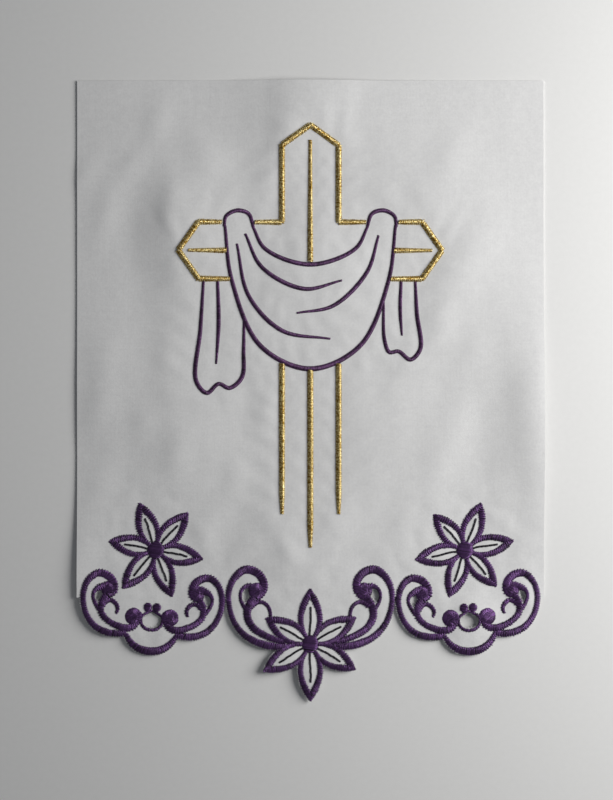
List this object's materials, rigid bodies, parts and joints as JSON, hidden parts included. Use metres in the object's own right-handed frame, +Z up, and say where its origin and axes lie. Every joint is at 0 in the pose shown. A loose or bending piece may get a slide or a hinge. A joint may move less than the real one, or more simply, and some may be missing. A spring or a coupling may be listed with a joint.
{
  "type": "altar cloth",
  "caption": "White altar cloth length with a scalloped cutwork hem, purple satin-stitch scrolls and flowers, and a draped gold cross, lying flat in soft folds.",
  "frame": {"origin": "middle of the cloth's length and width, on the surface it lies on", "axes": "+Z up out of the embroidered face, +Y along the length from the scalloped hem to the cut top, +X across to the right of the face"},
  "size_m": [0.28, 0.3723, 0.0059],
  "materials": {
    "white_cotton": "plain weave, matt",
    "purple_thread": "satin stitch, soft sheen",
    "gold_thread": "metallic satin stitch"
  },
  "bodies": {
    "root": {"cloth": "white_cotton", "scallop_left": "purple_thread", "flower_left": "purple_thread", "scallop_right": "purple_thread", "flower_right": "purple_thread", "scallop_centre": "purple_thread", "cross_head": "gold_thread", "cross_arm_left": "gold_thread", "cross_arm_right": "gold_thread", "cross_head_ridge": "gold_thread", "cross_arm_ridge_left": "gold_thread", "cross_arm_ridge_right": "gold_thread", "cross_shaft_edge_left": "gold_thread", "cross_shaft_edge_right": "gold_thread", "cross_shaft_ridge": "gold_thread", "drape_swag_edge": "purple_thread", "drape_swag_top": "purple_thread", "drape_fold_high": "purple_thread", "drape_fold_right": "purple_thread", "drape_fold_low": "purple_thread", "drape_loop_left": "purple_thread", "drape_loop_right": "purple_thread", "drape_tail_left": "purple_thread", "drape_tail_left_fold": "purple_thread", "drape_tail_right": "purple_thread", "drape_tail_right_fold": "purple_thread"}
  },
  "joints": []
}
